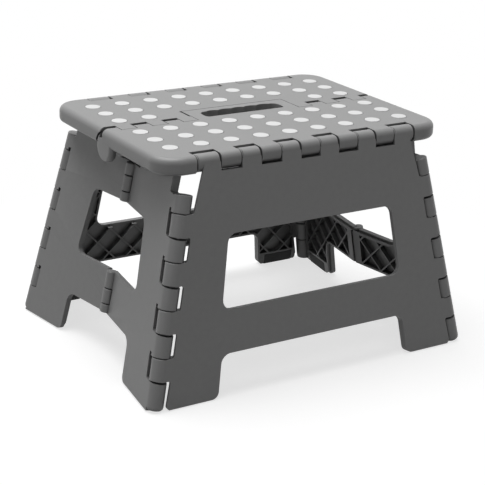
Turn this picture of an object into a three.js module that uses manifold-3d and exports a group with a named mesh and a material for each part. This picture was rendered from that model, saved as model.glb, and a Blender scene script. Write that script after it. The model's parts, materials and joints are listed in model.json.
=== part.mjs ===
// Folding step stool in moulded plastic, 220 mm high and open, ready to stand on.
// Two tread halves hinge on a centre line. Each carries a long side panel on its outer edge.
// The two ends are closed by panels in two halves, hinged to the side panels at the corners
// and to each other in the middle, so that everything folds flat into a slab about 33 mm thick.
// Millimetres. X runs along the length, Y to the rear, Z up. Origin on the floor, at the centre.

import * as THREE from 'three';
import { mergeVertices } from 'three/addons/utils/BufferGeometryUtils.js';
import Module from 'manifold-3d';

const wasm = await Module();
wasm.setup();

// Tread
const height = 220;
const treadLength = 304;
const treadWidth = 222;
const treadCornerRadius = 24;
const treadSkin = 2.8;
const treadRim = 8;
const ribWidth = 1.8;

// Hinges. A knuckle radius is also the distance from a panel's outer face to the hinge axis.
const knuckleRadius = 8;
const foldGap = 0.4;
const centreKnuckleRadius = 14.2;
const middleKnuckleRadius = 5.6;
const swingGap = 0.5;
const seam = 0.3;
const pinRadius = 1.9;
const centrePinRadius = 2.6;
const pinPlay = 0.5;
const knuckleSides = 12;
const centreSides = 18;
const pinSides = 6;
const centrePinSides = 8;
const topPinHalf = 121.5;
const centrePinStart = 57.3;
const centrePinEnd = 150.2;
const cornerPinStart = 4;
const cornerPinShort = 2;
const cornerBore = [3, 210];
const cornerGap = 0.8;

// How far each tread half reaches at the centre line and behind the outer hinge
const parting = { frontBody: 7.5, frontKnuckle: 2.5, rearBody: 6, rearKnuckle: 7, outerNotch: 97.2 };

// Knuckle boundaries along each hinge: half-lengths along X, or heights above the floor.
const centreBounds = [56.3, 72.2, 88.2, 104.4, 120.5, 136.5, 152.3];
const topBounds = [10.4, 31, 52, 72.5, 93.5, 117];
const cornerKnuckles = { top: 187, highestSeam: 170.35, pitch: 20.65, seams: 8 };
const upperMiddleBounds = [148.6, 158.4, 173.6, 185.6];
const lowerMiddleBounds = [41.6, 50.4, 65.2, 82];

// Stance. The corner hinges meet the floor here, and lean in by these runs for each mm up.
const cornerHalfLength = 167.2;
const cornerHalfDepth = 130.3;
const cornerLean = 0.212;
const endBend = THREE.MathUtils.degToRad(8);

// Panels, with heights measured along the panel
const panelSkin = 2.4;
const panelWall = 2.2;
const footLift = 0.8;
const ribSpacing = 36;
const sideRibs = { centre: [0, 90], reach: 190, solidTop: 15, solidEdge: 14 };
const endRibs = { centre: [80, 100], reach: 160, solidEdge: 13, solidMiddle: 10, top: 200 };
const rimDrop = 12;
const panelTopHalf = 140;
const sideWindow = { bottom: 80.3, top: 148.7, lowHalf: 98.6, highHalf: 88.8, corner: 9 };
const sideArch = { top: 39.9, topHalf: 100.4, floorHalf: 106.2, corner: 10, toe: 7 };
const endWindow = { bottom: 82, top: 149.6, lowEdge: 70.8, highEdge: 83.5, corner: 6 };
const endArch = { top: 40.2, topEdge: 68.5, floorEdge: 63.8, corner: 8, toe: 6 };
const endTop = { corner: 188.6, middle: 187.4 };
const endRail = { fromCorner: 9.5, fromMiddle: 20, top: 205 };
const pad = { height: 11.5, thickness: 4.4, sideFrom: 113, sideTo: 149, endFrom: 16, endTo: 53 };

// Handle tongue and grip dots
const tongue = { half: 56, reach: 26 };
const slot = { half: 42, front: -0.6, rear: 15.6, endRun: 8, bend: 4, scallop: 1.9, scallops: 5 };
const dot = { radius: 7.3, stand: 0.5, columns: 9, pitchX: 31.2, firstRow: 20.75, pitchY: 27.5 };
const runner = { width: 15.6, thickness: 1.2 };
const dotSides = 10;
const pocketRows = { start: 17.5, end: 92 };

// Cutting solids run past the faces they cut by at least this much
const past = 1;

// Worked out from the dimensions above
const hingeHeight = height - knuckleRadius;
const hingeHalfDepth = treadWidth / 2 - knuckleRadius;
const centreHeight = hingeHeight - knuckleRadius - foldGap;
const underside = centreHeight + foldGap;
const sideLean = (cornerHalfDepth - hingeHalfDepth) / hingeHeight;
const sideTilt = Math.atan(sideLean);
const sideHinge = hingeHeight / Math.cos(sideTilt);
const outerFace = knuckleRadius;
const innerFace = foldGap;
const pocketFloor = outerFace - panelSkin;
const knuckleRoom = knuckleRadius + 2 * past;

// Materials
function plastic(color, roughness) {
  return new THREE.MeshStandardMaterial({ color, roughness, metalness: 0 });
}
const treadGrey = () => plastic(0x7d7d7d, 0.55);
const panelGrey = () => plastic(0x666666, 0.55);
const pinSteel = () => new THREE.MeshStandardMaterial({ color: 0x9a9a9a, roughness: 0.35, metalness: 1 });
const dotWhite = () => plastic(0xe6e6e6, 0.7);
const padRubber = () => plastic(0x2b2b2b, 0.9);

// A closed mesh with its vertices merged, as a solid that can be joined and cut
function solid(geometry) {
  geometry.deleteAttribute('normal');
  geometry.deleteAttribute('uv');
  const welded = mergeVertices(geometry, 1e-4);
  const vertProperties = new Float32Array(welded.attributes.position.array);
  const triVerts = new Uint32Array(welded.index.array);
  return new wasm.Manifold(new wasm.Mesh({ numProp: 3, vertProperties, triVerts }));
}

function join(solids) {
  return solids.reduce((whole, next) => whole.add(next));
}

function piece(name, shape, material, placement) {
  const { vertProperties, triVerts } = shape.getMesh();
  const geometry = new THREE.BufferGeometry();
  geometry.setAttribute('position', new THREE.Float32BufferAttribute(vertProperties, 3));
  geometry.setIndex(Array.from(triVerts));
  const mesh = new THREE.Mesh(geometry, material);
  mesh.name = name;
  if (placement) {
    mesh.position.copy(placement.position);
    mesh.rotation.copy(placement.rotation);
  }
  return mesh;
}

function block(low, high) {
  const size = high.map((value, i) => value - low[i]);
  const geometry = new THREE.BoxGeometry(...size);
  geometry.translate(...low.map((value, i) => value + size[i] / 2));
  return solid(geometry);
}

function rod(radius, sides, start, end) {
  const from = new THREE.Vector3(...start);
  const along = new THREE.Vector3(...end).sub(from);
  const geometry = new THREE.CylinderGeometry(radius, radius, along.length(), sides);
  geometry.rotateY(Math.PI / sides);
  const turn = new THREE.Quaternion().setFromUnitVectors(
    new THREE.Vector3(0, 1, 0),
    along.clone().normalize(),
  );
  geometry.applyQuaternion(turn);
  const centre = from.addScaledVector(along, 0.5);
  geometry.translate(centre.x, centre.y, centre.z);
  return solid(geometry);
}

function rodAlongX(radius, sides, fromX, toX, y, z) {
  return rod(radius, sides, [fromX, y, z], [toX, y, z]);
}

function plate(shape, low, high, curveSegments = 3) {
  const depth = high - low;
  const geometry = new THREE.ExtrudeGeometry(shape, { depth, bevelEnabled: false, curveSegments });
  geometry.translate(0, 0, low);
  return solid(geometry);
}

// An outline from its corners, each [x, y, radius]
function outline(corners) {
  const shape = new THREE.Shape();
  const points = corners.map(([x, y]) => new THREE.Vector2(x, y));
  corners.forEach(([x, y, radius], i) => {
    const corner = points[i];
    const back = points.at(i - 1).clone().sub(corner).normalize();
    const on = points[(i + 1) % points.length].clone().sub(corner).normalize();
    const reach = radius / Math.tan(Math.acos(back.dot(on)) / 2);
    const start = corner.clone().addScaledVector(back, reach);
    const end = corner.clone().addScaledVector(on, reach);
    if (i === 0) shape.moveTo(start.x, start.y);
    else shape.lineTo(start.x, start.y);
    if (radius > 0) shape.quadraticCurveTo(x, y, end.x, end.y);
  });
  shape.closePath();
  return shape;
}

// The same outline with every edge moved inwards. The corners run counter-clockwise.
function inset(corners, distance) {
  const points = corners.map(([x, y]) => new THREE.Vector2(x, y));
  return corners.map(([, , radius], i) => {
    const corner = points[i];
    const edgeIn = corner.clone().sub(points.at(i - 1)).normalize();
    const edgeOut = points[(i + 1) % points.length].clone().sub(corner).normalize();
    const normalIn = new THREE.Vector2(-edgeIn.y, edgeIn.x);
    const normalOut = new THREE.Vector2(-edgeOut.y, edgeOut.x);
    const mitre = distance / (1 + normalIn.dot(normalOut));
    const moved = corner.clone().addScaledVector(normalIn.add(normalOut), mitre);
    const bulge = edgeIn.cross(edgeOut) > 0 ? -distance : distance;
    return [moved.x, moved.y, Math.max(radius + bulge, 0)];
  });
}

function mirrorCorners(corners) {
  return corners.map(([x, y, radius]) => [-x, y, radius]).reverse();
}

// Crossing diagonal ribs that cover a panel of the given reach about a centre
function diagonalRibs(centre, reach, low, high) {
  const bars = [];
  for (const slope of [-1, 1]) {
    const count = Math.ceil(reach / ribSpacing);
    for (let i = -count; i <= count; i += 1) {
      const bar = new THREE.BoxGeometry(2 * reach, ribWidth, high - low);
      bar.translate(0, (i + 0.5) * ribSpacing, (low + high) / 2);
      bar.rotateZ(slope * Math.PI / 4);
      bar.translate(centre[0], centre[1], 0);
      bars.push(solid(bar));
    }
  }
  return join(bars);
}

// Everything above a level, in the frame of a placed panel
function above(level, placement) {
  placement.updateMatrix();
  const size = 4 * height;
  const room = new THREE.BoxGeometry(size, size, size);
  room.translate(0, 0, level + size / 2);
  room.applyMatrix4(placement.matrix.clone().invert());
  return solid(room);
}

// A span on the left (hand -1) or the right (hand 1), lowest end first
function onHand(hand, [from, to]) {
  return hand < 0 ? [-to, -from] : [from, to];
}

// The same span on the left and the right of the middle
function bothHands(span) {
  return [onHand(-1, span), onHand(1, span)];
}

// Pairs of neighbouring boundaries
function spans(bounds) {
  return bounds.slice(1).map((bound, i) => [bounds[i], bound]);
}

// Corner hinge: which stretches of it belong to the end panel and which to the side panel.
// Lengths are measured along the leaning axis, up from the floor.
const cornerAxis = new THREE.Vector3(cornerLean, sideLean, 1);
const cornerStretch = cornerAxis.length();
const cornerBounds = [0];
for (let i = cornerKnuckles.seams - 1; i >= 0; i -= 1) {
  cornerBounds.push((cornerKnuckles.highestSeam - i * cornerKnuckles.pitch) * cornerStretch);
}
cornerBounds.push(cornerKnuckles.top * cornerStretch);
const endCornerSpans = spans(cornerBounds).filter((span, i) => i % 2 === 0);
const sideCornerSpans = spans(cornerBounds).filter((span, i) => i % 2 === 1);

// Knuckles, clearances or bores along an axis that leans in a panel's own plane
function rodsOnAxis(axisAt, list, radius, sides, trim) {
  return join(list.map(([from, to]) => rod(radius, sides, axisAt(from + trim), axisAt(to - trim))));
}

// Side panels. Panel frame: x along the length, y up the panel, z out of its outer face,
// with z = 0 on the plane of its hinge axes.
function sidePlacement(isRear) {
  const placement = new THREE.Object3D();
  placement.rotation.set(Math.PI / 2 - sideTilt, 0, isRear ? Math.PI : 0, 'ZXY');
  placement.position.set(0, isRear ? cornerHalfDepth : -cornerHalfDepth, 0);
  return placement;
}

const sideAxisRun = cornerLean * Math.cos(sideTilt);
function sideCornerPoint(hand) {
  const rise = 1 / Math.cos(sideTilt) / cornerStretch;
  const run = cornerLean / cornerStretch;
  return (length) => [hand * (cornerHalfLength - run * length), rise * length, 0];
}

function sideOutlineCorners() {
  const edgeAt = (y) => cornerHalfLength - sideAxisRun * y;
  const half = [
    [sideArch.topHalf, sideArch.top, sideArch.corner],
    [sideArch.floorHalf, 0, sideArch.toe],
    [edgeAt(0), 0, 0],
    [edgeAt(sideHinge), sideHinge, 0],
  ];
  return [...half, ...mirrorCorners(half)];
}

function sideWindowCorners() {
  const half = [
    [sideWindow.lowHalf, sideWindow.bottom, sideWindow.corner],
    [sideWindow.highHalf, sideWindow.top, sideWindow.corner],
  ];
  return [...half, ...mirrorCorners(half)];
}

function sideRibPockets() {
  const { centre, reach, solidTop, solidEdge } = sideRibs;
  const edgeAt = (y) => cornerHalfLength - solidEdge - sideAxisRun * y;
  const floor = pad.height + panelWall;
  const field = [
    [edgeAt(floor), floor, 0],
    [edgeAt(sideHinge - solidTop), sideHinge - solidTop, 0],
  ];
  const low = -knuckleRadius;
  return plate(outline(inset(sideOutlineCorners(), panelWall)), low, pocketFloor)
    .intersect(plate(outline([...field, ...mirrorCorners(field)]), low - past, pocketFloor))
    .subtract(plate(outline(inset(sideWindowCorners(), -panelWall)), low - past, pocketFloor + past))
    .subtract(diagonalRibs(centre, reach, low - past, pocketFloor + past));
}

// The seat for a foot pad along the bottom of a panel, and the pad that fills it
function padSeat([from, to]) {
  return block([from, -knuckleRoom, -knuckleRoom], [to, pad.height, innerFace + pad.thickness + seam]);
}

function footPad([from, to]) {
  const low = [from + seam, -knuckleRoom, innerFace];
  return block(low, [to - seam, pad.height - seam, innerFace + pad.thickness]);
}

// A notch in the top edge of a side panel, down to a depth below its hinge axis
function topNotch([from, to], drop) {
  return block([from, sideHinge - drop, -knuckleRoom], [to, sideHinge + knuckleRoom, knuckleRoom]);
}

// The top edge of one half of a side panel: its knuckles, and notches for the tread's
function withTopHinge(panel, hand) {
  const drop = knuckleRadius + foldGap;
  let shape = panel.subtract(topNotch(onHand(hand, [topBounds.at(-1), panelTopHalf]), rimDrop));
  spans(topBounds).forEach((span, i) => {
    const [low, high] = onHand(hand, span);
    if (i % 2 > 0) {
      shape = shape.subtract(topNotch([low, high], drop));
      return;
    }
    const start = low + 2 * seam;
    const end = high - 2 * seam;
    shape = shape.add(rodAlongX(knuckleRadius, knuckleSides, start, end, sideHinge, 0))
      .subtract(topNotch([low - past, start], drop))
      .subtract(topNotch([end, high + past], drop));
  });
  return shape;
}

function sidePanel(name, isRear) {
  const placement = sidePlacement(isRear);
  const boreRadius = pinRadius + pinPlay;
  const cornerTop = cornerBounds.at(-1);
  const ends = endCornerSpans.map(([from, to]) => [from, to === cornerTop ? cornerBore[1] : to]);
  let panel = plate(outline(sideOutlineCorners()), innerFace, outerFace)
    .subtract(plate(outline(sideWindowCorners()), innerFace - past, outerFace + past))
    .subtract(sideRibPockets());
  for (const hand of [-1, 1]) {
    const axisAt = sideCornerPoint(hand);
    panel = panel.add(rodsOnAxis(axisAt, sideCornerSpans, knuckleRadius, knuckleSides, seam))
      .subtract(rodsOnAxis(axisAt, ends, knuckleRadius + cornerGap, knuckleSides, 0))
      .subtract(rodsOnAxis(axisAt, [cornerBore], boreRadius, pinSides, 0))
      .subtract(padSeat(onHand(hand, [pad.sideFrom, pad.sideTo])));
    panel = withTopHinge(panel, hand);
  }
  panel = panel.subtract(topNotch([-topBounds[0], topBounds[0]], knuckleRadius + foldGap))
    .subtract(rodAlongX(boreRadius, pinSides, -panelTopHalf, panelTopHalf, sideHinge, 0))
    .intersect(above(footLift, placement));
  return piece(name, panel, panelGrey(), placement);
}

function sidePad(name, isRear, hand) {
  const placement = sidePlacement(isRear);
  const shape = footPad(onHand(hand, [pad.sideFrom, pad.sideTo]));
  return piece(name, shape.intersect(above(0, placement)), padRubber(), placement);
}

// End panel halves. Panel frame: y up the panel, z out of its outer face, and along the panel
// the distance from the corner axis at the floor, towards the middle, is hand * x.
const endAlong = new THREE.Vector3(Math.sin(endBend), Math.cos(endBend), 0);
const endOut = endAlong.clone().cross(cornerAxis).normalize().negate();
const endUp = endAlong.clone().cross(endOut);
const endLean = Math.asin(endOut.z);
const middleOffset = knuckleRadius + foldGap;

// Where the corner axis and the middle axis cross the panel at a height up it
const cornerEdgeAt = (y) => y * cornerAxis.dot(endAlong) / cornerAxis.dot(endUp);
const middleEdgeAt = (y) => (cornerHalfDepth - middleOffset * endOut.y - y * endUp.y) / endAlong.y;
const endHeightAt = (z) => (z - middleOffset * endOut.z) / endUp.z;

function endPlacement(isRear, isRight) {
  const placement = new THREE.Object3D();
  const meetsMiddle = isRear !== isRight;
  const turn = -(Math.PI / 2 + (meetsMiddle ? -endBend : endBend)) + (isRight ? Math.PI : 0);
  placement.rotation.set(Math.PI / 2 - endLean, 0, turn, 'ZXY');
  placement.position.set(
    isRight ? cornerHalfLength : -cornerHalfLength,
    isRear ? cornerHalfDepth : -cornerHalfDepth,
    0,
  );
  return placement;
}

// The top edge runs just under the tread, and steps down at the corner hinge and in the middle
function endOutlineCorners() {
  const middle = (y) => middleEdgeAt(y) - foldGap;
  const railStart = cornerEdgeAt(endRail.top) + endRail.fromCorner;
  const railEnd = middle(endRail.top) - endRail.fromMiddle;
  return [
    [0, 0, 0],
    [endArch.floorEdge, 0, endArch.toe],
    [endArch.topEdge, endArch.top, endArch.corner],
    [middle(endArch.top), endArch.top, 0],
    [middle(endWindow.bottom), endWindow.bottom, 0],
    [endWindow.lowEdge, endWindow.bottom, endWindow.corner],
    [endWindow.highEdge, endWindow.top, endWindow.corner],
    [middle(endWindow.top), endWindow.top, 0],
    [middle(endTop.middle), endTop.middle, 0],
    [railEnd, endTop.middle, 0],
    [railEnd, endRail.top, 0],
    [railStart, endRail.top, 0],
    [railStart, endTop.corner, 0],
    [cornerEdgeAt(endTop.corner), endTop.corner, 0],
  ];
}

function endRibPockets() {
  const { centre, reach, solidEdge, solidMiddle, top } = endRibs;
  const floor = pad.height + panelWall;
  const field = [
    [cornerEdgeAt(floor) + solidEdge, floor, 0],
    [middleEdgeAt(floor) - solidMiddle, floor, 0],
    [middleEdgeAt(top) - solidMiddle, top, 0],
    [cornerEdgeAt(top) + solidEdge, top, 0],
  ];
  const low = -knuckleRadius;
  return plate(outline(inset(endOutlineCorners(), panelWall)), low, pocketFloor)
    .intersect(plate(outline(field), low - past, pocketFloor))
    .subtract(diagonalRibs(centre, reach, low - past, pocketFloor + past));
}

// Front left and rear right halves carry the outer two knuckles of each middle hinge,
// and the other two halves carry the one between them.
function endPanel(name, isRear, isRight) {
  const placement = endPlacement(isRear, isRight);
  const carriesOuterTwo = isRear === isRight;
  const cornerAt = (length) => [
    length * cornerAxis.dot(endAlong) / cornerStretch,
    length * cornerAxis.dot(endUp) / cornerStretch,
    0,
  ];
  let panel = plate(outline(endOutlineCorners()), innerFace, outerFace)
    .subtract(endRibPockets())
    .add(rodsOnAxis(cornerAt, endCornerSpans, knuckleRadius, knuckleSides, seam))
    .subtract(rodsOnAxis(cornerAt, sideCornerSpans, knuckleRadius + cornerGap, knuckleSides, 0))
    .subtract(rodsOnAxis(cornerAt, [cornerBore], pinRadius + pinPlay, pinSides, 0))
    .subtract(padSeat([pad.endFrom, pad.endTo]));
  for (const bounds of [lowerMiddleBounds, upperMiddleBounds]) {
    spans(bounds).forEach(([from, to], i) => {
      const low = endHeightAt(from);
      const high = endHeightAt(to);
      if ((i % 2 === 0) === carriesOuterTwo) {
        const start = [middleEdgeAt(low), low + seam, middleOffset];
        const end = [middleEdgeAt(high), high - seam, middleOffset];
        panel = panel.add(rod(middleKnuckleRadius, knuckleSides, start, end));
      } else {
        const edge = middleEdgeAt(low) - middleKnuckleRadius - 2 * swingGap;
        const farCorner = [middleEdgeAt(low) + middleOffset, high + seam, 2 * middleOffset];
        panel = panel.subtract(block([edge, low - seam, -past], farCorner));
      }
    });
  }
  if (carriesOuterTwo) panel = flipped(panel);
  return piece(name, panel.intersect(above(footLift, placement)), panelGrey(), placement);
}

// The mirror image of a solid, left to right
function flipped(shape) {
  const { vertProperties, triVerts } = shape.getMesh();
  const geometry = new THREE.BufferGeometry();
  geometry.setAttribute('position', new THREE.Float32BufferAttribute(vertProperties, 3));
  geometry.setIndex(Array.from(triVerts).reverse());
  geometry.scale(-1, 1, 1);
  return solid(geometry);
}

function endPad(name, isRear, isRight) {
  const placement = endPlacement(isRear, isRight);
  const shape = footPad(onHand(isRear === isRight ? -1 : 1, [pad.endFrom, pad.endTo]));
  return piece(name, shape.intersect(above(0, placement)), padRubber(), placement);
}

// Treads, drawn where they stand. The whole slab is shaped first and then parted.
function slab() {
  const halfLength = treadLength / 2;
  const halfWidth = treadWidth / 2;
  const corners = [
    [halfLength, -halfWidth, treadCornerRadius],
    [halfLength, halfWidth, treadCornerRadius],
    [-halfLength, halfWidth, treadCornerRadius],
    [-halfLength, -halfWidth, treadCornerRadius],
  ];
  const depth = 3 * knuckleRadius;
  const geometry = new THREE.ExtrudeGeometry(outline(corners), {
    depth,
    curveSegments: 5,
    bevelThickness: knuckleRadius,
    bevelSize: knuckleRadius,
    bevelOffset: -knuckleRadius,
    bevelSegments: 3,
  });
  geometry.translate(0, 0, height - depth - knuckleRadius);
  const reach = treadLength;
  return solid(geometry).intersect(block([-reach, -reach, underside], [reach, reach, height + past]));
}

// A box given by its reach from the centre line, on the front (side -1) or the rear (side 1)
function boxOnSide(side, [lowX, highX], [near, far], [lowZ, highZ]) {
  const [front, rear] = onHand(side, [near, far]);
  return block([lowX, front, lowZ], [highX, rear, highZ]);
}

const centreSpansOf = (side) => spans(centreBounds).filter((span, i) => (i % 2 === 0) === (side > 0));
const inColumn = (column) => (column - (dot.columns - 1) / 2) * dot.pitchX;
const inRow = (side, row) => side * (dot.firstRow + row * dot.pitchY);

// Where one half ends: at its body, at its centre knuckles, and at the tongue
function planOf(side) {
  const levels = [underside - past, height + past];
  const halfLength = treadLength / 2;
  const far = treadWidth;
  const knuckleEdge = side < 0 ? parting.frontKnuckle : parting.rearKnuckle;
  const fingers = centreSpansOf(side).flatMap(bothHands).map(([from, to]) => (
    boxOnSide(side, [from + seam, to - seam], [-knuckleEdge, far], levels)
  ));
  if (side < 0) {
    return join([
      boxOnSide(side, [-halfLength, halfLength], [parting.frontBody, far], levels),
      boxOnSide(side, [-tongue.half, tongue.half], [-tongue.reach, far], levels),
      ...fingers,
    ]);
  }
  const inner = tongue.half + 2 * seam;
  const shoulders = bothHands([inner, halfLength]);
  return join([
    boxOnSide(side, [-halfLength, halfLength], [tongue.reach + 2 * seam, far], levels),
    ...shoulders.map((span) => boxOnSide(side, span, [parting.rearBody, far], levels)),
    ...fingers,
  ]);
}

// Hollows under one half: three long pockets under each row of dots
function treadPockets(side) {
  const rowEdge = (row) => dot.firstRow + dot.pitchY * (row + 0.5);
  const rows = [pocketRows.start, rowEdge(0), rowEdge(1), pocketRows.end];
  const end = treadLength / 2 - treadRim;
  const crossRib = 1.5 * dot.pitchX;
  const pockets = [];
  spans(rows).forEach(([near, far], row) => {
    const meetsTongue = side > 0 && row === 0;
    const inner = meetsTongue ? tongue.half + 2 * seam + ribWidth : crossRib + ribWidth / 2;
    const stretches = bothHands([inner, end]);
    if (!meetsTongue) stretches.push([-crossRib + ribWidth / 2, crossRib - ribWidth / 2]);
    for (const stretch of stretches) {
      const depth = [near + ribWidth / 2, far - ribWidth / 2];
      pockets.push(boxOnSide(side, stretch, depth, [underside - past, height - treadSkin]));
    }
  });
  return join(pockets);
}

// The outer edge: notches for the side panel's knuckles, and knuckles of its own between them
function outerHinge(side) {
  const y = side * hingeHalfDepth;
  const sidePanelSpans = spans(topBounds).filter((span, i) => i % 2 === 0).flatMap(bothHands);
  const levels = [underside - past, height + past];
  const notches = sidePanelSpans.flatMap(([from, to]) => [
    rodAlongX(knuckleRadius + swingGap, knuckleSides, from, to, y, hingeHeight),
    boxOnSide(side, [from, to], [parting.outerNotch, treadWidth], levels),
  ]);
  const reach = topPinHalf + seam;
  const bore = rodAlongX(pinRadius + pinPlay, pinSides, -reach, reach, y, hingeHeight);
  return join([...notches, knuckleUndersides(side), bore]);
}

// What the lower quarter of the tread's own knuckles leaves free, as one bar along the edge
function knuckleUndersides(side) {
  const ledge = new THREE.Shape();
  const outside = side * (treadWidth / 2 + past);
  const steps = knuckleSides / 2;
  for (let i = 0; i <= steps; i += 1) {
    const angle = i / steps * Math.PI / 2;
    const across = side * (hingeHalfDepth + knuckleRadius * Math.sin(angle));
    const level = hingeHeight - knuckleRadius * Math.cos(angle);
    if (i === 0) ledge.moveTo(across, level);
    else ledge.lineTo(across, level);
  }
  ledge.lineTo(outside, hingeHeight);
  ledge.lineTo(outside, underside - past);
  ledge.lineTo(side * hingeHalfDepth, underside - past);
  ledge.closePath();
  const reach = topBounds.at(-2);
  const bar = new THREE.ExtrudeGeometry(ledge, { depth: 2 * reach, bevelEnabled: false });
  bar.applyMatrix4(new THREE.Matrix4().makeBasis(
    new THREE.Vector3(0, 1, 0),
    new THREE.Vector3(0, 0, 1),
    new THREE.Vector3(1, 0, 0),
  ));
  bar.translate(-reach, 0, 0);
  return solid(bar);
}

// Each row of dots is one moulding: the dots come up through the tread from a runner below it
function dotRow(side, row, from, to, grow) {
  const y = inRow(side, row);
  const top = height - treadSkin - seam + grow;
  const bottom = height - treadSkin - seam - runner.thickness - grow;
  const across = runner.width / 2 + grow;
  const strip = block(
    [inColumn(from) - runner.width / 2 - grow, y - across, bottom],
    [inColumn(to) + runner.width / 2 + grow, y + across, top],
  );
  const dots = [];
  for (let column = from; column <= to; column += 1) {
    const x = inColumn(column);
    dots.push(rod(dot.radius + grow, dotSides, [x, y, bottom], [x, y, height + dot.stand + grow]));
  }
  return join([strip, ...dots]);
}

const dotRows = [
  { name: 'front_inner_grip_dots', side: -1, row: 0, from: 0, to: 8 },
  { name: 'front_middle_grip_dots', side: -1, row: 1, from: 0, to: 8 },
  { name: 'front_outer_grip_dots', side: -1, row: 2, from: 0, to: 8 },
  { name: 'rear_inner_left_grip_dots', side: 1, row: 0, from: 0, to: 1 },
  { name: 'rear_inner_right_grip_dots', side: 1, row: 0, from: 7, to: 8 },
  { name: 'rear_middle_grip_dots', side: 1, row: 1, from: 0, to: 8 },
  { name: 'rear_outer_grip_dots', side: 1, row: 2, from: 0, to: 8 },
];

// The hand hole, straight in front and scalloped for the fingers behind
function slotShape() {
  const { half, front, rear, endRun, bend, scallop, scallops } = slot;
  const end = half - endRun;
  const shape = new THREE.Shape();
  shape.moveTo(-end, front);
  shape.lineTo(end, front);
  shape.quadraticCurveTo(half, front, half, front + bend);
  shape.quadraticCurveTo(half, rear, end, rear);
  const width = 2 * end / scallops;
  for (let i = 0; i < scallops; i += 1) {
    const start = end - i * width;
    shape.quadraticCurveTo(start - width / 2, rear + 2 * scallop, start - width, rear);
  }
  shape.quadraticCurveTo(-half, rear, -half, front + bend);
  shape.quadraticCurveTo(-half, front, -end, front);
  return shape;
}

// Rods of one radius round the centre line, on both sides of the tongue
function centreRods(list, radius, sides) {
  const rods = list.flatMap(bothHands).map(([from, to]) => (
    rodAlongX(radius, sides, from, to, 0, centreHeight)
  ));
  return join(rods);
}

function treadHalf(name, side) {
  const outerEnd = treadLength / 2;
  const ownSpans = centreSpansOf(side).map(([from, to]) => [from + seam, Math.min(to - seam, outerEnd)]);
  const knuckles = centreRods(ownSpans, centreKnuckleRadius, centreSides);
  const clearances = centreRods(centreSpansOf(-side), centreKnuckleRadius + swingGap, centreSides);
  const boreSpan = [centreBounds[0], centrePinEnd + seam];
  const bores = centreRods([boreSpan], centrePinRadius + pinPlay, centrePinSides);
  let tread = slab().intersect(planOf(side)).subtract(treadPockets(side));
  tread = tread.add(knuckles).subtract(join([clearances, bores, outerHinge(side)]));
  for (const { side: rowSide, row, from, to } of dotRows) {
    if (rowSide === side) tread = tread.subtract(dotRow(side, row, from, to, seam));
  }
  if (side < 0) tread = tread.subtract(plate(slotShape(), underside - past, height + past));
  return piece(name, tread, treadGrey());
}

function topPin(name, side) {
  const shape = rodAlongX(pinRadius, pinSides, -topPinHalf, topPinHalf, side * hingeHalfDepth, hingeHeight);
  return piece(name, shape, pinSteel());
}

function centrePin(name, hand) {
  const [from, to] = onHand(hand, [centrePinStart, centrePinEnd]);
  return piece(name, rodAlongX(centrePinRadius, centrePinSides, from, to, 0, centreHeight), pinSteel());
}

function cornerPin(name, isRear, hand) {
  const axisAt = sideCornerPoint(hand);
  const ends = [cornerPinStart, cornerBounds.at(-1) - cornerPinShort];
  const shape = rod(pinRadius, pinSides, ...ends.map(axisAt));
  return piece(name, shape, pinSteel(), sidePlacement(isRear));
}

const stool = new THREE.Group();
stool.add(treadHalf('front_tread', -1), treadHalf('rear_tread', 1));
stool.add(sidePanel('front_side_panel', false), sidePanel('rear_side_panel', true));
for (const { name, side, row, from, to } of dotRows) {
  stool.add(piece(name, dotRow(side, row, from, to, 0), dotWhite()));
}
stool.add(topPin('front_top_hinge_pin', -1), topPin('rear_top_hinge_pin', 1));
stool.add(centrePin('left_centre_hinge_pin', -1), centrePin('right_centre_hinge_pin', 1));
for (const isRight of [false, true]) {
  for (const isRear of [false, true]) {
    const place = `${isRight ? 'right' : 'left'}_${isRear ? 'rear' : 'front'}`;
    const hand = isRight === isRear ? -1 : 1;
    stool.add(endPanel(`${place}_end_panel`, isRear, isRight));
    stool.add(cornerPin(`${place}_corner_pin`, isRear, hand));
    stool.add(sidePad(`${place}_side_foot_pad`, isRear, hand));
    stool.add(endPad(`${place}_end_foot_pad`, isRear, isRight));
  }
}

export default stool;
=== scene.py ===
import json
import math

import bmesh
import bpy
from mathutils import Matrix, Vector


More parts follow.
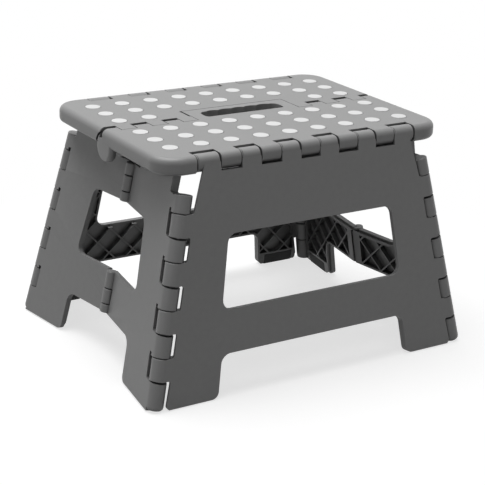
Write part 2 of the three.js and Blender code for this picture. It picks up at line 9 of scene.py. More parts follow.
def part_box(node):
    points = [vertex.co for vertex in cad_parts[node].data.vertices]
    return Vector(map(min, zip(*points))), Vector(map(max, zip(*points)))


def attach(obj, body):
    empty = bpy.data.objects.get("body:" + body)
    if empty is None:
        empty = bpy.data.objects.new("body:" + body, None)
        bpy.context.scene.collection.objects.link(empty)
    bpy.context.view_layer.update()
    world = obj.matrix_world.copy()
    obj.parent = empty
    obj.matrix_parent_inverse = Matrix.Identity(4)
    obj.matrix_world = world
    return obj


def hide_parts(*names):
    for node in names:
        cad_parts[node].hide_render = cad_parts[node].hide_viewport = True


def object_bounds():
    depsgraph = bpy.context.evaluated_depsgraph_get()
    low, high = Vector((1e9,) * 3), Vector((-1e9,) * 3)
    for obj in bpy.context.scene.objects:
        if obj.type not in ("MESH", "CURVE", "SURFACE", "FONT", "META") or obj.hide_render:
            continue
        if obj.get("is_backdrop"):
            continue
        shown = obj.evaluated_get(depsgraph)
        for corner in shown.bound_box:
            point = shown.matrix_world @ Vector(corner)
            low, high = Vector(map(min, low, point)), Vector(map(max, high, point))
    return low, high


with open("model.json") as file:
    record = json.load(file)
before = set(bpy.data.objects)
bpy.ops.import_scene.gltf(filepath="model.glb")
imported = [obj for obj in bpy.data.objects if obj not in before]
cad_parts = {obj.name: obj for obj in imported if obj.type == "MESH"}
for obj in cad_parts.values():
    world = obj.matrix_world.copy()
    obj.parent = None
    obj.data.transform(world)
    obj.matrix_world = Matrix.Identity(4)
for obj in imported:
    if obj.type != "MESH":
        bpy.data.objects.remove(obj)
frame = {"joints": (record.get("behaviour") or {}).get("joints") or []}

cad_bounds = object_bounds()
scene = bpy.context.scene
scene.view_settings.view_transform = "Standard"


# The camera of the photograph
# It looks down on the front left corner from standing height, through a long lens and with
# a slight tilt of the horizon. Lengths in this section are in metres.
camera_turn = math.radians(-32.39)
camera_rise = math.radians(20.055)
camera_tilt = math.radians(2.02)
camera_place = Vector((-0.7154, -1.1297, 0.5750))

lens = bpy.data.cameras.new("camera")
lens.sensor_width = 36.0
lens.lens = 107.165
lens.clip_start = 0.05
lens.clip_end = 50.0
camera = bpy.data.objects.new("camera", lens)
scene.collection.objects.link(camera)
scene.camera = camera

camera.matrix_world = (
    Matrix.Translation(camera_place)
    @ Matrix.Rotation(camera_turn, 4, "Z")
    @ Matrix.Rotation(math.pi / 2 - camera_rise, 4, "X")
    @ Matrix.Rotation(camera_tilt, 4, "Z")
)


# The room
# A pale floor under a white surround. A broad soft box hangs overhead, with a second one on
# the left and a weak one in front. The floor is seen white, with the stool's soft shadow on
# it, and throws back little light.
floor_half = 6.0
floor_seen = 0.46
floor_glow = 0.69
floor_fade = (0.24, 0.46)  # where the fade into white starts and ends, in metres
floor_bounce = 0.14
sky_strength = 0.11
soft_boxes = (
    # name, size, place, aim, power
    ("overhead box", 1.5, (-0.22, 0.35, 1.9), (0, 0, 0.1), 31.5),
    ("left box", 1.2, (-2.0, -0.5, 0.9), (0, 0, 0.1), 2.5),
    ("front box", 1.2, (0.3, -2.2, 0.8), (0, 0, 0.1), 1.9),
)


def add_node(tree, kind, settings=None, inputs=None):
    """One shader node with its settings and its unlinked input values."""
    node = tree.nodes.new(kind)
    for name, value in (settings or {}).items():
        setattr(node, name, value)
    for name, value in (inputs or {}).items():
        node.inputs[name].default_value = value
    return node


def calculate(tree, operation, first, second, clamp=False):
    """The result of one math node on two sockets, or on a socket and a number."""
    node = add_node(tree, "ShaderNodeMath", {"operation": operation, "use_clamp": clamp})
    for socket, given in zip(node.inputs, (first, second)):
        if isinstance(given, float):
            socket.default_value = given
        else:
            tree.links.new(given, socket)
    return node.outputs[0]


def seen_rays(tree):
    """A mask that is 1 for the rays that the viewer, mirrors and glass see by."""
    path = add_node(tree, "ShaderNodeLightPath")
    total = path.outputs["Is Camera Ray"]
    for name in ("Is Glossy Ray", "Is Transmission Ray"):
        total = calculate(tree, "ADD", total, path.outputs[name], clamp=True)
    return total


def floor_material():
    """White paper to the eye, darker to the light that it throws back on the stool."""
    material = bpy.data.materials.new("pale_floor")
    material.use_nodes = True
    tree = material.node_tree
    tree.nodes.clear()
    link = tree.links.new
    seen = add_node(tree, "ShaderNodeBsdfDiffuse", inputs={"Color": (floor_seen,) * 3 + (1,)})
    glow = add_node(tree, "ShaderNodeEmission", inputs={"Strength": floor_glow})
    white = add_node(tree, "ShaderNodeEmission", inputs={"Strength": 1.0})
    bounce = add_node(tree, "ShaderNodeBsdfDiffuse", inputs={"Color": (floor_bounce,) * 3 + (1,)})
    bright = add_node(tree, "ShaderNodeAddShader")
    link(seen.outputs[0], bright.inputs[0])
    link(glow.outputs[0], bright.inputs[1])

    # Away from the stool and its shadow the floor fades into plain white.
    place = add_node(tree, "ShaderNodeTexCoord")
    distance = add_node(tree, "ShaderNodeVectorMath", {"operation": "LENGTH"})
    link(place.outputs["Object"], distance.inputs[0])
    near, far = floor_fade
    fade = add_node(tree, "ShaderNodeMapRange", inputs={"From Min": near, "From Max": far})
    link(distance.outputs["Value"], fade.inputs["Value"])
    shown = add_node(tree, "ShaderNodeMixShader")
    link(fade.outputs[0], shown.inputs[0])
    link(bright.outputs[0], shown.inputs[1])
    link(white.outputs[0], shown.inputs[2])

    choice = add_node(tree, "ShaderNodeMixShader")
    output = add_node(tree, "ShaderNodeOutputMaterial")
    link(seen_rays(tree), choice.inputs[0])
    link(bounce.outputs[0], choice.inputs[1])
    link(shown.outputs[0], choice.inputs[2])
    link(choice.outputs[0], output.inputs["Surface"])
    return material


floor_mesh = bmesh.new()
bmesh.ops.create_grid(floor_mesh, x_segments=1, y_segments=1, size=floor_half)
floor_data = bpy.data.meshes.new("floor")
floor_mesh.to_mesh(floor_data)
floor_mesh.free()
floor_data.materials.append(floor_material())
floor = bpy.data.objects.new("floor", floor_data)
scene.collection.objects.link(floor)
floor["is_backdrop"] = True

world = bpy.data.worlds.new("white_room")
world.use_nodes = True
scene.world = world
world_tree = world.node_tree
background = world_tree.nodes["Background"]
background.inputs["Color"].default_value = (1, 1, 1, 1)
brightness = add_node(world_tree, "ShaderNodeMapRange", inputs={
    "To Min": sky_strength, "To Max": 1.0,
})
world_tree.links.new(seen_rays(world_tree), brightness.inputs["Value"])
world_tree.links.new(brightness.outputs[0], background.inputs["Strength"])

for name, size, place, aim, power in soft_boxes:
    lamp_data = bpy.data.lights.new(name, "AREA")
    lamp_data.shape = "SQUARE"
    lamp_data.size = size
    lamp_data.energy = power
    lamp = bpy.data.objects.new(name, lamp_data)
    scene.collection.objects.link(lamp)
    towards = Vector(aim) - Vector(place)
    lamp.rotation_euler = towards.to_track_quat("-Z", "Y").to_euler()
    lamp.location = place


# Side panels
# Two moulded plastic panels stand along the front and the rear. Each is one shell with a skin
# outside and crossing ribs inside, a window, an arch between its feet, and knuckles moulded
# along its top edge and down both leaning corners.
millimetre = 0.001  # each piece is drawn in millimetres, and finished in metres
joints = {joint["name"]: joint for joint in frame["joints"]}


def joint_place(name):
    """Where a joint's axis passes, in millimetres."""
    return Vector(joints[name]["pos_m"]) / millimetre


top_hinge = joint_place("rear_top_hinge")
corner_hinge = joint_place("right_rear_corner_hinge")
corner_axis = Vector(joints["left_front_corner_hinge"]["axis"])
corner_axis = corner_axis / corner_axis.z
hinge_height = top_hinge.z
hinge_half_depth = top_hinge.y
corner_half_length = corner_hinge.x
corner_half_depth = corner_hinge.y
corner_lean = corner_axis.x
side_lean = corner_axis.y
side_tilt = math.atan(side_lean)
side_hinge_height = hinge_height / math.cos(side_tilt)
corner_stretch = corner_axis.length

knuckle_radius = 8.0
knuckle_rounding = 0.9
hinge_seam = 0.35
inner_face = 0.4
outer_face = 8.0
panel_skin = 2.4
panel_wall = 2.2
rib_width = 1.6
rib_pitch = 19.5
foot_lift = 0.8
edge_rounding = 1.3
past = 1.0  # how far a cutting tool reaches past what it cuts
touching = 0.01
sharp_angle = math.radians(32)
corner_angle = math.radians(30)
flat_angle = math.radians(0.5)
rod_sides = 40
bore_sides = 24
fewest_arc_steps = 5
radius_per_arc_step = 1.6

# Where the knuckles along the top edge start and end, from the middle outwards
top_bounds = (10.4, 31.0, 52.0, 72.5, 93.5, 117.0)
top_notch_depth = 8.15
corner_knuckle_top = 187.0
highest_corner_seam = 170.35
corner_pitch = 20.65
corner_seams = 8
corner_notch = 8.4
corner_notch_behind = 12.8
corner_notch_skin = 2.2
corner_notch_rounding = 2.0
top_notch_flare = 4.0
top_notch_reach = 30.0
foot_corner = 3.0

# Corners (x, y, radius) of the right half of each opening
side_window = ((98.6, 80.3, 9.0), (88.8, 148.7, 9.0))
side_arch = ((100.4, 39.9, 10.0), (106.2, 0.0, 7.0))
side_solid_edge = 14.0
side_solid_top = 15.0
side_rib_centre = (0, 90)
side_rib_reach = 190
panel_top_half = 140.0
panel_top_drop = 12.0
pad_height = 11.5
pad_thickness = 4.4
side_pad_span = (113.0, 149.0)
seat_play = 0.3
window_wall = 3.6  # the level where the thin lip round an opening starts
rib_setback = 2.6
rim_top_rounding = 6.0
shoulder_segments = 5
bore_radius = 2.4
top_bore_half = 121.8
corner_bore_low = 3.5
corner_bore_cap = 1.6

side_names = ("front", "rear")
hand_names = ("left", "right")
# Whether each corner of the stool is at the rear, whether it is on the right, and its name
stool_corners = [
    (is_rear, is_right, f"{hand_names[is_right]}_{side_names[is_rear]}")
    for is_rear in (False, True) for is_right in (False, True)
]


def rounded_outline(mesh, corners, level):
    """A flat face from corners (x, y, radius) in order, with each corner rounded."""
    vertices = [mesh.verts.new((x, y, level)) for x, y, radius in corners]
    mesh.faces.new(vertices)
    count = len(corners)
    for i, (x, y, radius) in enumerate(corners):
        if radius == 0:
            continue
        here = Vector((x, y))
        back = (Vector(corners[i - 1][:2]) - here).normalized()
        on = (Vector(corners[(i + 1) % count][:2]) - here).normalized()
        reach = radius / math.tan(back.angle(on) / 2)
        steps = max(fewest_arc_steps, int(radius / radius_per_arc_step))
        bmesh.ops.bevel(
            mesh, geom=[vertices[i]], offset=reach, segments=steps, profile=0.5,
            affect="VERTICES", material=-1,
        )
    return mesh.faces[:]


def plate(corners, low, high):
    """A closed plate between two levels from an outline of rounded corners."""
    mesh = bmesh.new()
    faces = rounded_outline(mesh, corners, low)
    extruded = bmesh.ops.extrude_face_region(mesh, geom=faces)["geom"]
    moved = [item for item in extruded if isinstance(item, bmesh.types.BMVert)]
    bmesh.ops.translate(mesh, verts=moved, vec=(0, 0, high - low))
    bmesh.ops.recalc_face_normals(mesh, faces=mesh.faces[:])
    return mesh


def block(low, high):
    """A closed box between two corners."""
    mesh = bmesh.new()
    bmesh.ops.create_cube(mesh, size=1)
    low, high = Vector(low), Vector(high)
    bmesh.ops.scale(mesh, verts=mesh.verts[:], vec=high - low)
    bmesh.ops.translate(mesh, verts=mesh.verts[:], vec=(low + high) / 2)
    return mesh


def round_edges(mesh, edges, radius, segments=3):
    """Rounds the given edges, which may be none."""
    if edges:
        bmesh.ops.bevel(
            mesh, geom=edges, offset=radius, segments=segments, profile=0.5,
            affect="EDGES", clamp_overlap=True, material=-1,
        )


def rod(radius, start, end, rounding=0.0, sides=rod_sides):
    """A closed cylinder between two points, its rims rounded by one radius or one for each."""
    start, end = Vector(start), Vector(end)
    along = end - start
    mesh = bmesh.new()
    bmesh.ops.create_cone(
        mesh, cap_ends=True, segments=sides, radius1=radius, radius2=radius, depth=along.length,
    )
    roundings = rounding if isinstance(rounding, tuple) else (rounding, rounding)
    for sign, amount in zip((-1, 1), roundings):
        rim = [edge for edge in mesh.edges if all(sign * vert.co.z > 0 for vert in edge.verts)]
        if amount > 0:
            round_edges(mesh, rim, amount)
    turned = along.to_track_quat("Z", "Y").to_matrix().to_4x4()
    place = Matrix.Translation((start + end) / 2) @ turned
    bmesh.ops.transform(mesh, matrix=place, verts=mesh.verts[:])
    return mesh


def working_object(mesh):
    """A short-lived object for a modifier. It uses up the mesh."""
    data = bpy.data.meshes.new("working")
    mesh.to_mesh(data)
    mesh.free()
    made = bpy.data.objects.new("working", data)
    scene.collection.objects.link(made)
    return made


def combine(body, tool, operation):
    """Joins a body with a tool (UNION), cuts it (DIFFERENCE), or keeps what both hold."""
    target, cutter = working_object(body), working_object(tool)
    boolean = target.modifiers.new("boolean", "BOOLEAN")
    boolean.operation = operation
    boolean.solver = "MANIFOLD"
    boolean.object = cutter
    result = bmesh.new()
    result.from_object(target, bpy.context.evaluated_depsgraph_get())
    for made in (target, cutter):
        data = made.data
        bpy.data.objects.remove(made)
        bpy.data.meshes.remove(data)
    return result


def join(body, *tools):
    """Adds each tool to a body, in order."""
    for tool in tools:
        body = combine(body, tool, "UNION")
    return body


def cut(body, *tools):
    """Takes each tool out of a body, in order."""
    for tool in tools:
        body = combine(body, tool, "DIFFERENCE")
    return body


def keep(body, tool):
    """What a body and a tool both hold."""
    return combine(body, tool, "INTERSECT")


def gathered(meshes):
    """Solids that don't touch one another, as one mesh."""
    whole = bmesh.new()
    for mesh in meshes:
        data = bpy.data.meshes.new("working")
        mesh.to_mesh(data)
        mesh.free()
        whole.from_mesh(data)
        bpy.data.meshes.remove(data)
    return whole


def spans(bounds):
    """Pairs of neighbouring boundaries."""
    return list(zip(bounds, bounds[1:]))


def on_hand(hand, span):
    """A span on the left (hand -1) or the right (hand 1), lowest end first."""
    low, high = span
    return (low, high) if hand > 0 else (-high, -low)


def both_hands(span):
    """The same span on the left and on the right."""
    return [on_hand(-1, span), on_hand(1, span)]


def mirrored(corners):
    """The left half of an outline from its right half, going on in the same order."""
    return [(-x, y, radius) for x, y, radius in reversed(corners)]


def inset(corners, distance):
    """The same outline, counter-clockwise, with every edge moved inwards."""
    moved = []
    count = len(corners)
    for i, (x, y, radius) in enumerate(corners):
        here = Vector((x, y))
        edge_in = (here - Vector(corners[i - 1][:2])).normalized()
        edge_out = (Vector(corners[(i + 1) % count][:2]) - here).normalized()
        normals = Vector((-edge_in.y, edge_in.x)) + Vector((-edge_out.y, edge_out.x))
        shift = normals * (2 * distance / normals.length_squared)
        turn = edge_in.x * edge_out.y - edge_in.y * edge_out.x
        shrunk = radius - distance if turn > 0 else radius + distance
        moved.append((x + shift.x, y + shift.y, max(shrunk, 0.0)))
    return moved


def soften_face(mesh, level, radius, segments=3):
    """Rounds every sharp edge of a flat face that looks along +Z at a level."""
    bmesh.ops.remove_doubles(mesh, verts=mesh.verts[:], dist=touching)
    bmesh.ops.dissolve_limit(
        mesh, angle_limit=flat_angle, verts=mesh.verts[:], edges=mesh.edges[:],
    )
    rim = []
    for edge in mesh.edges:
        off_level = any(abs(vert.co.z - level) > 2 * touching for vert in edge.verts)
        if edge.is_manifold and not off_level and edge.calc_face_angle_signed() > corner_angle:
            rim.append(edge)
    round_edges(mesh, rim, radius, segments)


def crossing_ribs(centre, reach, low, high):
    """Two sets of ribs at right angles, each on the diagonal."""
    sets = []
    count = math.ceil(reach / rib_pitch)
    for slope in (-1, 1):
        bars = []
        for i in range(-count, count + 1):
            offset = (i + 0.5) * rib_pitch
            near, far = offset - rib_width / 2, offset + rib_width / 2
            bars.append(block((-2 * reach, near, low), (2 * reach, far, high)))
        bars = gathered(bars)
        turned = Matrix.Translation((*centre, 0)) @ Matrix.Rotation(slope * math.pi / 4, 4, "Z")
        bmesh.ops.transform(bars, matrix=turned, verts=bars.verts[:])
        sets.append(bars)
    return sets


def add_piece(node, kind, mesh, material, body, place=Matrix.Identity(4)):
    """The finished piece that stands for a CAD node, set in its place in metres."""
    name = f"{node}_{kind}"
    bmesh.ops.transform(mesh, matrix=Matrix.Scale(millimetre, 4) @ place, verts=mesh.verts[:])
    data = bpy.data.meshes.new(name)
    mesh.to_mesh(data)
    mesh.free()
    data.shade_smooth()
    data.set_sharp_from_angle(angle=sharp_angle)
    data.materials.append(material)
    made = bpy.data.objects.new(name, data)
    scene.collection.objects.link(made)
    even = made.modifiers.new("even shading", "WEIGHTED_NORMAL")
    even.keep_sharp = True
    shaded = made.evaluated_get(bpy.context.evaluated_depsgraph_get())
    made.data = bpy.data.meshes.new_from_object(shaded)
    made.modifiers.clear()
    bpy.data.meshes.remove(data)
    made.data.name = name
    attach(made, body)
    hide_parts(node)


def moulded_grain_and_shade():
    """Moulded plastic: slow patches, a fine spark-eroded grain, scuffed edges, and painted shade that darkens
    its crevices.
    """
    group = bpy.data.node_groups.new("moulded grain and painted shade", "ShaderNodeTree")
    numbers = ("Patches", "Scuffs", "Painted Crevice Shade", "Roughness", "Grain Size", "Grain Depth")
    sockets = (
        ("INPUT", "NodeSocketColor", ("Colour",)),
        ("INPUT", "NodeSocketFloat", numbers),
        ("OUTPUT", "NodeSocketColor", ("Colour",)),
        ("OUTPUT", "NodeSocketFloat", ("Roughness",)),
        ("OUTPUT", "NodeSocketVector", ("Normal",)),
    )
    for way, kind, names in sockets:
        for name in names:
            group.interface.new_socket(name=name, in_out=way, socket_type=kind)
    given = add_node(group, "NodeGroupInput")
    result = add_node(group, "NodeGroupOutput")
    place = add_node(group, "ShaderNodeTexCoord")
    link = group.links.new

    patches = add_node(group, "ShaderNodeTexNoise", inputs={"Scale": 22.0, "Detail": 3.0})
    link(place.outputs["Object"], patches.inputs["Vector"])
    centred = calculate(group, "SUBTRACT", patches.outputs["Fac"], 0.5)
    patch_lift = calculate(group, "MULTIPLY", centred, given.outputs["Patches"])

    shape = add_node(group, "ShaderNodeNewGeometry")
    edges = add_node(group, "ShaderNodeMapRange", inputs={"From Min": 0.53, "From Max": 0.64})
    link(shape.outputs["Pointiness"], edges.inputs["Value"])
    streaks = add_node(group, "ShaderNodeTexNoise", inputs={"Scale": 160.0, "Detail": 4.0})
    link(place.outputs["Object"], streaks.inputs["Vector"])
    worn = calculate(group, "MULTIPLY", edges.outputs[0], streaks.outputs["Fac"])
    scuff_lift = calculate(group, "MULTIPLY", worn, given.outputs["Scuffs"])
    lift = calculate(group, "ADD", patch_lift, scuff_lift)

    # Painted shade: the colour is darkened where the surface is closed in, in seams, slots and ribbed cells,
    # standing in for the shade that falls there.
    openness = add_node(group, "ShaderNodeAmbientOcclusion", {"samples": 8}, {"Distance": 0.014})
    closed = add_node(group, "ShaderNodeMapRange", inputs={
        "From Min": 0.2, "From Max": 0.6, "To Min": 1.0, "To Max": 0.0,
    })
    link(openness.outputs["AO"], closed.inputs["Value"])
    light_lost = calculate(group, "MULTIPLY", closed.outputs[0], given.outputs["Painted Crevice Shade"])
    light_left = calculate(group, "SUBTRACT", 1.0, light_lost)
    factor = calculate(group, "MULTIPLY", calculate(group, "ADD", lift, 1.0), light_left)
    shade = add_node(group, "ShaderNodeVectorMath", {"operation": "SCALE"})
    link(given.outputs["Colour"], shade.inputs[0])
    link(factor, shade.inputs["Scale"])
    link(shade.outputs[0], result.inputs["Colour"])
    rough = calculate(group, "ADD", given.outputs["Roughness"], lift, clamp=True)
    link(rough, result.inputs["Roughness"])

    grain = add_node(group, "ShaderNodeTexNoise", inputs={"Detail": 2.0})
    link(place.outputs["Object"], grain.inputs["Vector"])
    link(given.outputs["Grain Size"], grain.inputs["Scale"])
    bump = add_node(group, "ShaderNodeBump", inputs={"Distance": 0.0003})
    link(given.outputs["Grain Depth"], bump.inputs["Strength"])
    link(grain.outputs["Fac"], bump.inputs["Height"])
    link(bump.outputs["Normal"], result.inputs["Normal"])
    return group


grain_group = moulded_grain_and_shade()


def moulded_plastic(name, grey, shine, grain_values):
    """A moulded plastic or rubber from its grey, its shine, and the values of its grain and of its painted
    crevice shade.
    """
    material = bpy.data.materials.new(name)
    material.use_nodes = True
    tree = material.node_tree
    surface = tree.nodes["Principled BSDF"]
    grain = add_node(tree, "ShaderNodeGroup", {"node_tree": grain_group}, {
        "Colour": (grey, grey, grey, 1), **grain_values,
    })
    for given, taken in (("Colour", "Base Color"), ("Roughness", "Roughness"), ("Normal", "Normal")):
        tree.links.new(grain.outputs[given], surface.inputs[taken])
    surface.inputs["Specular IOR Level"].default_value = shine
    return material


body_grey = 0.26
body_shine = 0.6
# The crevice value sets how much painted shade darkens seams, slots and cells.
body_grain = {"Roughness": 0.42, "Painted Crevice Shade": 0.8, "Grain Size": 1100.0, "Grain Depth": 0.22}
panel_plastic = moulded_plastic("panel_plastic", body_grey, body_shine, {
    **body_grain, "Patches": 0.12, "Scuffs": 0.25,
})

corner_bounds = [0.0]
for i in reversed(range(corner_seams)):
    corner_bounds.append((highest_corner_seam - i * corner_pitch) * corner_stretch)
corner_bounds.append(corner_knuckle_top * corner_stretch)
end_corner_spans = spans(corner_bounds)[0::2]
side_corner_spans = spans(corner_bounds)[1::2]
panel_knuckles = [span for pair in spans(top_bounds)[0::2] for span in both_hands(pair)]
tread_knuckles = [span for pair in spans(top_bounds)[1::2] for span in both_hands(pair)]
side_run = corner_lean * math.cos(side_tilt)


def corner_hand(is_rear, is_right):
    """The sign of x at a corner in its side panel's frame, and of its end half in the half's."""
    return -1 if is_rear == is_right else 1


def side_place(is_rear):
    """The frame of a side panel: x along it, y up it and z out of its outer face."""
    turn = Matrix.Rotation(math.pi if is_rear else 0.0, 4, "Z")
    foot = Matrix.Translation((0, corner_half_depth if is_rear else -corner_half_depth, 0))
    return foot @ turn @ Matrix.Rotation(math.pi / 2 - side_tilt, 4, "X")


def side_corner(hand, length):
    """A point on a corner axis in the side panel's frame, by its length up the axis."""
    run = corner_lean / corner_stretch
    rise = 1 / math.cos(side_tilt) / corner_stretch
    return Vector((hand * (corner_half_length - run * length), rise * length, 0))


def side_edge(y):
    """How far a side panel's edge is from its middle at a height up it."""
    return corner_half_length - side_run * y


def side_outline():
    """A side panel's outline: from its arch up the right edge, then down the left one."""
    half = [
        *side_arch,
        (side_edge(0), 0, 0),
        (side_edge(side_hinge_height), side_hinge_height, 0),
    ]
    return half + mirrored(half)


def side_pockets():
    """What the moulding leaves hollow behind the skin, around the ribs and the window."""
    low = pad_height + panel_wall
    high = side_hinge_height - side_solid_top
    field = [(side_edge(y) - side_solid_edge, y, 0) for y in (low, high)]
    level = outer_face - panel_skin
    hollow = plate(inset(side_outline(), panel_wall), -knuckle_radius, level)
    hollow = keep(hollow, plate(field + mirrored(field), -knuckle_radius - past, level))
    window = side_window_outline()
    hollow = cut(hollow, plate(inset(window, -panel_wall), window_wall, level + past))
    ribs = crossing_ribs(side_rib_centre, side_rib_reach, -knuckle_radius - past, level + past)
    hollow = cut(hollow, *ribs)
    return join(hollow, plate(inset(window, -rib_setback), -knuckle_radius, window_wall))


def side_window_outline():
    return [*side_window, *mirrored(side_window)]


def top_notch(span, drop):
    """Room in a panel's top edge, from some way below the hinge line upwards."""
    low, high = span
    return block(
        (low, side_hinge_height - drop, -knuckle_radius - past),
        (high, side_hinge_height + knuckle_radius + past, knuckle_radius + past),
    )


def knuckle_shoulder(start, end):
    """The square top of a knuckle, level with the tread and flush with its rim."""
    mesh = block((start, 0, 0), (end, knuckle_radius, knuckle_radius))
    at_rim = knuckle_radius - touching
    outer = [e for e in mesh.edges if all(min(v.co.y, v.co.z) > at_rim for v in e.verts)]
    round_edges(mesh, outer, rim_top_rounding, shoulder_segments)
    upright = Matrix.Translation((0, side_hinge_height, 0)) @ Matrix.Rotation(side_tilt, 4, "X")
    bmesh.ops.transform(mesh, matrix=upright, verts=mesh.verts[:])
    return mesh


def corner_notches(hand, span, flare=0.0):
    """The room beside a neighbour's knuckle, wider behind the panel's skin than through it."""
    low, high = (side_corner(1, length) for length in span)
    outside = knuckle_radius + 2 * past
    through = (corner_notch, knuckle_radius + past)
    behind = (corner_notch_behind, outer_face - corner_notch_skin)
    notches = []
    for reach, top in (through, behind):
        corners = [
            (low.x - reach, low.y, corner_notch_rounding),
            (low.x + outside, low.y, 0),
            (high.x + outside, high.y, 0),
            (high.x - reach - flare, high.y, corner_notch_rounding),
        ]
        if low.y < 0:
            corners[:1] = [
                (low.x - reach, foot_corner, foot_corner), (low.x - reach - foot_corner, low.y, 0),
            ]
        if hand < 0:
            corners = mirrored(corners)
        notches.append(plate(corners, -knuckle_radius - past, top))
    return notches


def pad_seat(span):
    """The groove behind a foot's face that holds its pad."""
    low, high = span
    outside = knuckle_radius + 2 * past
    depth = inner_face + pad_thickness + seat_play
    return block((low, -outside, -outside), (high, pad_height, depth))


def corner_bore(corner_at):
    """The hole for a corner's pin, closed by a thin cap at the top."""
    top = corner_bounds[-1] - corner_bore_cap
    return rod(bore_radius, corner_at(corner_bore_low), corner_at(top), sides=bore_sides)


def above_floor(mesh, place, level):
    """Cuts a piece off at a height above the floor."""
    reach = 400
    floor_cut = block((-reach, -reach, -reach), (reach, reach, level))
    bmesh.ops.transform(floor_cut, matrix=place.inverted(), verts=floor_cut.verts[:])
    return cut(mesh, floor_cut)


def side_panel(is_rear):
    """A side panel in its own frame, and its place."""
    place = side_place(is_rear)
    mesh = plate(side_outline(), inner_face, outer_face)
    window = plate(side_window_outline(), inner_face - past, outer_face + past)
    mesh = cut(mesh, window, side_pockets())
    for hand in (-1, 1):
        for span in end_corner_spans:
            low, high = span[0] - hinge_seam, span[1] + hinge_seam
            flare = 0.0
            if span is end_corner_spans[-1]:
                high, flare = span[1] + top_notch_reach, top_notch_flare
            mesh = cut(mesh, *corner_notches(hand, (low, high), flare))
        for low, high in side_corner_spans:
            start, end = side_corner(hand, low + hinge_seam), side_corner(hand, high - hinge_seam)
            mesh = join(mesh, rod(knuckle_radius, start, end, knuckle_rounding))
        mesh = cut(mesh, pad_seat(on_hand(hand, side_pad_span)))
        mesh = cut(mesh, corner_bore(lambda length: side_corner(hand, length)))
        shoulder = on_hand(hand, (top_bounds[-1], panel_top_half))
        mesh = cut(mesh, top_notch(shoulder, panel_top_drop))
    for low, high in tread_knuckles:
        mesh = cut(mesh, top_notch((low - hinge_seam, high + hinge_seam), top_notch_depth))
    for low, high in panel_knuckles:
        low, high = low + 2 * hinge_seam, high - 2 * hinge_seam
        ends = [(x, side_hinge_height, 0) for x in (low, high)]
        barrel = rod(knuckle_radius, *ends, knuckle_rounding)
        square = knuckle_shoulder(low + knuckle_rounding, high - knuckle_rounding)
        mesh = join(mesh, barrel, square)
    mesh = cut(mesh, top_notch((-top_bounds[0], top_bounds[0]), top_notch_depth))
    ends = [(x, side_hinge_height, 0) for x in (-top_bore_half, top_bore_half)]
    mesh = cut(mesh, rod(bore_radius, *ends, sides=bore_sides))
    mesh = above_floor(mesh, place, foot_lift)
    soften_face(mesh, outer_face, edge_rounding)
    return mesh, place


for is_rear, side_name in enumerate(side_names):
    panel, panel_place = side_panel(is_rear)
    add_piece(f"{side_name}_side_panel", "moulding", panel, panel_plastic, f"{side_name}_side",
              panel_place)


# End panels
# Each end is closed by two moulded halves with the same skin and ribs as the side panels. They
# hinge on the side panels at the corners and on each other in the middle, where barrels stand
# out from their faces. The front left and rear right halves carry two barrels of each three.
end_bend = math.radians(8)
middle_radius = 5.6
middle_rounding = 1.0
swing_gap = 0.5
# Heights above the floor where the barrels of the lower and the upper middle hinge start and end
middle_hinges = ((41.6, 50.4, 65.2, 82.0), (148.6, 158.4, 173.6, 185.6))
# Corners (x, y, radius) on the corner's side of each opening, lowest first
end_arch = ((63.8, 0.0, 6.0), (68.5, 40.2, 10.0))
end_window = ((70.8, 82.0, 8.0), (83.5, 149.6, 8.0))
end_middle_top = 187.4
end_corner_top = 188.6
end_rail_from_corner = 9.5
end_rail_from_middle = 20.0
end_rail_top = 205.0
end_solid_top = 200.0
end_solid_corner = 13.0
end_solid_middle = 10.0
end_rib_centre = (80, 100)
end_rib_reach = 160
lip_overlap = 0.2
end_pad_span = (16.0, 53.0)
end_notch = 8.5
foot_rounding = 3.6
# The small dark mark that the mould leaves under each knuckle of an end panel
core_mark_span = (4.6, 8.4)
core_mark_height = 3.0
core_mark_depth = 2.6

end_along = Vector((math.sin(end_bend), math.cos(end_bend), 0))
end_out = -end_along.cross(corner_axis).normalized()
end_up = end_along.cross(end_out)
end_lean = math.asin(end_out.z)
middle_offset = knuckle_radius + inner_face


def end_place(is_rear, is_right):
    """The frame of an end half: y up it and z out of its outer face, from its corner's foot."""
    bend = -end_bend if is_rear != is_right else end_bend
    turn = (math.pi if is_right else 0.0) - math.pi / 2 - bend
    x = corner_half_length if is_right else -corner_half_length
    y = corner_half_depth if is_rear else -corner_half_depth
    turned = Matrix.Rotation(turn, 4, "Z") @ Matrix.Rotation(math.pi / 2 - end_lean, 4, "X")
    return Matrix.Translation((x, y, 0)) @ turned


def end_corner(length):
    """A point on the corner axis in an end half's frame, by its length up the axis."""
    direction = Vector((corner_axis.dot(end_along), corner_axis.dot(end_up), 0))
    return direction * (length / corner_stretch)


def corner_edge(y):
    """Where the corner axis crosses an end half at a height up it."""
    return y * corner_axis.dot(end_along) / corner_axis.dot(end_up)


def middle_edge(y):
    """Where the middle axis crosses an end half at a height up it."""
    return (corner_half_depth - middle_offset * end_out.y - y * end_up.y) / end_along.y


def end_height(z):
    """The height up an end half of the point on its middle axis at a height above the floor."""
    return (z - middle_offset * end_out.z) / end_up.z


def drawn_back(corner, back, way):
    """A corner of an opening moved away from it: sideways, and up (way 1), down (-1) or level."""
    x, y, radius = corner
    return (x - back, y + way * back, radius + back)


